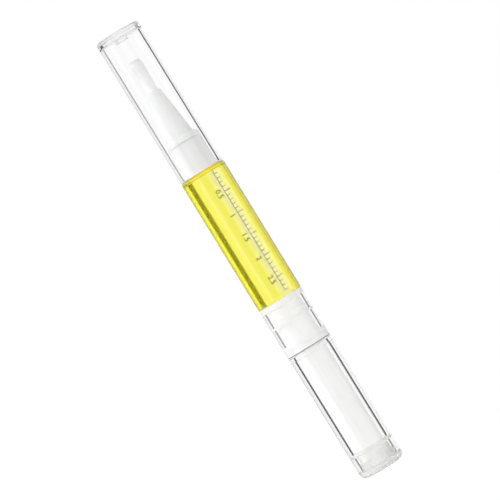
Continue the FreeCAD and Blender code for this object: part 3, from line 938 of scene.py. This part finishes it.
# brightness by heading: 0 is straight behind the pen, positive to the right
# sky and ground are the soft light; between them runs a low strip of cards for the clear plastic to show,
# with one row for each stretch of the pen; around is what the clear plastic shows above and below the strip
oliveCard = (0.03, 0.02, 0.0)
amberCard = (0.6, 0.5, 0.05)
softLight = {-180: 0.98, -140: 1.2, -105: 2.0, -60: 1.75, -35: 1.0, 35: 0.95, 70: 0.68, 155: 0.68, 180: 0.98}
studioLook = {
    "around": {
        -180: 0.95, -149: 0.72, -115: 0.95, -85: 0.95, -59: 0.72, -25: 0.95, 5: 0.95,
        31: 0.72, 60: 0.95, 95: 0.95, 121: 0.72, 150: 0.95, 180: 0.95,
    },
    "gloss": {          # how much of the strip the gloss shows
        -180: 1.0, -118: 1.0, -106: 0.0, -60: 0.0, -55: 0.3, -20: 0.4, -10: 1.0, 180: 1.0,
    },
    "ground": softLight,
    "tail": {
        -180: 0.95, -140: 1.1, -105: 1.6, -63: 1.6, -58: 1.0, -56: 0.3, -41: 0.3, -39: 1.0,
        38: 1.0, 40: 0.3, 56: 0.3, 58: 0.9, 80: 0.8, 155: 0.8, 180: 0.95,
    },
    "knob": {
        -180: 1.3, -160: 1.3, -157: 0.6, -141: 0.6, -138: 1.3, -120: 1.3, -105: 1.6, -63: 1.5,
        -58: 1.0, -56: 0.06, -41: 0.06, -39: 1.0,
        38: 1.0, 40: 0.03, 56: 0.03, 58: 0.9, 100: 0.9, 118: 1.8, 160: 1.8, 180: 1.3,
    },
    "piston": {
        -180: 1.2, -120: 1.2, -105: 1.5, -63: 1.5, -58: 1.0, -56: 0.35, -41: 0.35, -39: 1.0,
        38: 1.0, 40: 0.22, 56: 0.22, 58: 0.9, 100: 0.9, 118: 1.8, 160: 1.8, 180: 1.2,
    },
    "oil": {
        -180: 0.8, -160: 0.8, -143: 1.9, -118: 0.75, -87: 0.75, -84: 0.0, -63: 0.0,
        -61: amberCard, -45: amberCard, -42: 0.85, -28: 0.8, -22: 0.55, -9: 0.6, -4: 0.95,
        5: 0.95, 10: 0.85, 24.5: 0.85, 26.0: oliveCard, 39.0: oliveCard, 40.5: 0.85, 50: 0.75, 58: 0.4,
        63: 0.1, 74: 0.1, 90: 1.8, 115: 3.7, 142: 3.6, 170: 1.2, 180: 0.8,
    },
    "cap": {
        -180: 0.95, -160: 0.95, -157: 0.6, -141: 0.6, -138: 1.1, -105: 1.6, -63: 1.6, -56: 1.0,
        -53: 0.42, -41: 0.42, -38: 1.0, 38: 1.0, 40: 0.04, 54: 0.04, 56: 0.9, 80: 0.8,
        109: 0.8, 112: 0.3, 130: 0.3, 133: 0.8, 155: 0.8, 180: 0.95,
    },
    "sky": softLight,
}
stripReach = 12.0       # how far the strip runs past the pen's ends, in mm at the pen


def cardRow(tree, heading, row):
    ramp = addNode(tree, "ShaderNodeValToRGB", {"Fac": heading})
    stops = ramp.color_ramp.elements
    headings = sorted(row)
    while len(stops) < len(headings):
        stops.new(0.5)
    for stop, degrees in zip(stops, headings):
        stop.position = (degrees + 180) / 360
    for stop, degrees in zip(stops, headings):
        card = row[degrees]
        stop.color = (*card, 1) if isinstance(card, tuple) else (card, card, card, 1)
    return ramp.outputs["Color"]


def makeStudio():
    world = bpy.data.worlds.new("softStudio")
    scene.world = world
    world.use_nodes = True
    tree = world.node_tree
    tree.nodes.clear()
    calc = calculator(tree)
    coords = addNode(tree, "ShaderNodeTexCoord")
    turned = addNode(tree, "ShaderNodeVectorRotate", {
        "Vector": coords.outputs["Generated"], "Angle": -math.radians(cameraLook["turn"]),
    }, rotation_type="Z_AXIS")
    parts = addNode(tree, "ShaderNodeSeparateXYZ", {0: turned.outputs[0]})
    heading = addNode(tree, "ShaderNodeMapRange", {
        "Value": calc("ARCTAN2", parts.outputs[0], parts.outputs[1]), "From Min": -math.pi, "From Max": math.pi,
    })
    rows = {name: cardRow(tree, heading.outputs["Result"], row) for name, row in studioLook.items()}
    rays = addNode(tree, "ShaderNodeLightPath").outputs
    for name in ("ground", "sky"):
        rows[name] = mixColours(tree, rays["Is Transmission Ray"], rows[name], rows["around"])
    # a black card beside the pen dulls the gloss along its left edge
    for name in ("tail", "knob", "piston", "oil", "cap"):
        rows[name] = mixColours(tree, rays["Is Reflection Ray"], rows[name], rows["gloss"], "MULTIPLY")
    # each row starts where the camera sees the piece that it is named for
    edges = {
        "tail": -stripReach, "knob": bandRear, "piston": barrelRear, "oil": oilRear, "cap": chamberTop,
        "sky": reach("cap")[2] + stripReach,
    }
    shown = rows["ground"]
    for name, height in edges.items():
        rise = (height * mm - cameraLook["height"]) / cameraLook["distance"]
        shown = mixColours(tree, calc("GREATER_THAN", parts.outputs[2], rise), shown, rows[name])
    lit = addNode(tree, "ShaderNodeBackground", {"Color": shown, "Strength": 1.0})
    plain = addNode(tree, "ShaderNodeBackground", {"Color": (1, 1, 1, 1), "Strength": 1.0})
    mixed = addNode(tree, "ShaderNodeMixShader", {
        0: rays["Is Camera Ray"], 1: lit.outputs[0], 2: plain.outputs[0],
    })
    addNode(tree, "ShaderNodeOutputWorld", {"Surface": mixed.outputs[0]})


def makeCamera():
    look = cameraLook
    data = bpy.data.cameras.new("penCamera")
    data.sensor_fit = "HORIZONTAL"
    data.sensor_width = look["sensor"]
    data.lens = look["sensor"] * look["distance"] / look["frame"]
    data.clip_start = look["near"]
    camera = addObject("penCamera", data)
    turn = math.radians(look["turn"])
    camera.location = (look["distance"] * math.sin(turn), -look["distance"] * math.cos(turn), look["height"])
    camera.rotation_euler = (math.radians(90), math.radians(look["lean"]), turn)
    scene.camera = camera


makeFloor()
makeStudio()
makeCamera()
print("floor, studio and camera set")
